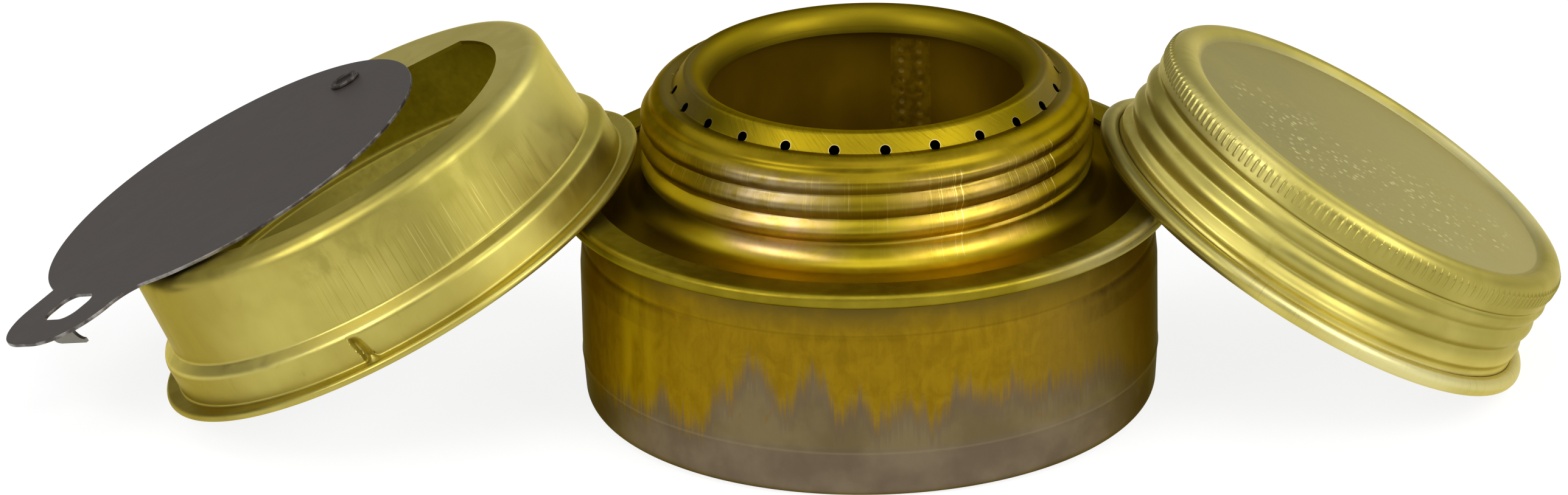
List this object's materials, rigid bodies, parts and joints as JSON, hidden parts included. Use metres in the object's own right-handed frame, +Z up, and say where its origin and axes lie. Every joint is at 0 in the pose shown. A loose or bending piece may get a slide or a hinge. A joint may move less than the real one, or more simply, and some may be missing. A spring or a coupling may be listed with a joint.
{
  "type": "spirit burner",
  "caption": "Brass spirit burner with a threaded neck and a row of flame jets; its simmer ring with a swinging flap and its screw cap lean against its rim.",
  "frame": {"origin": "centre of the burner's flat base, on the plane that it stands on", "axes": "+Z up the burner's axis, +X towards the leaning screw cap, -X towards the leaning simmer ring, -Y towards the picture's viewer"},
  "size_m": [0.1886, 0.0752, 0.0435],
  "materials": {
    "cup_brass": "heat-stained, brushed upwards",
    "collar_brass": "heat-stained, polished ridges",
    "tube_brass": "dark, heat-stained",
    "wick_felt": "felted",
    "ring_brass": "satin, lightly scratched",
    "rivet_steel": "dull",
    "flap_steel": "heat-darkened, bare cut edges",
    "cap_brass": "satin, worn",
    "seal_rubber": "matt"
  },
  "bodies": {
    "burner": {"fuel_cup": "cup_brass", "jet_collar": "collar_brass", "inner_tube": "tube_brass", "wick": "wick_felt"},
    "ring": {"simmer_ring": "ring_brass", "pivot_rivet": "rivet_steel"},
    "flap": {"flap": "flap_steel"},
    "cap": {"screw_cap": "cap_brass", "cap_seal": "seal_rubber"}
  },
  "joints": [
    {"name": "ring_lift", "type": "slide", "parent": "burner", "child": "ring", "axis": [0, 0, 1], "range_m": [0, 0.045]},
    {"name": "flap_swing", "type": "hinge", "parent": "ring", "child": "flap", "pos_m": [-0.06376, 0.02451, 0.03126], "axis": [0.4648, -0.0325, -0.8848], "range_deg": [-45, 135]},
    {"name": "cap_lift", "type": "slide", "parent": "burner", "child": "cap", "axis": [0, 0, 1], "range_m": [0, 0.045]}
  ]
}
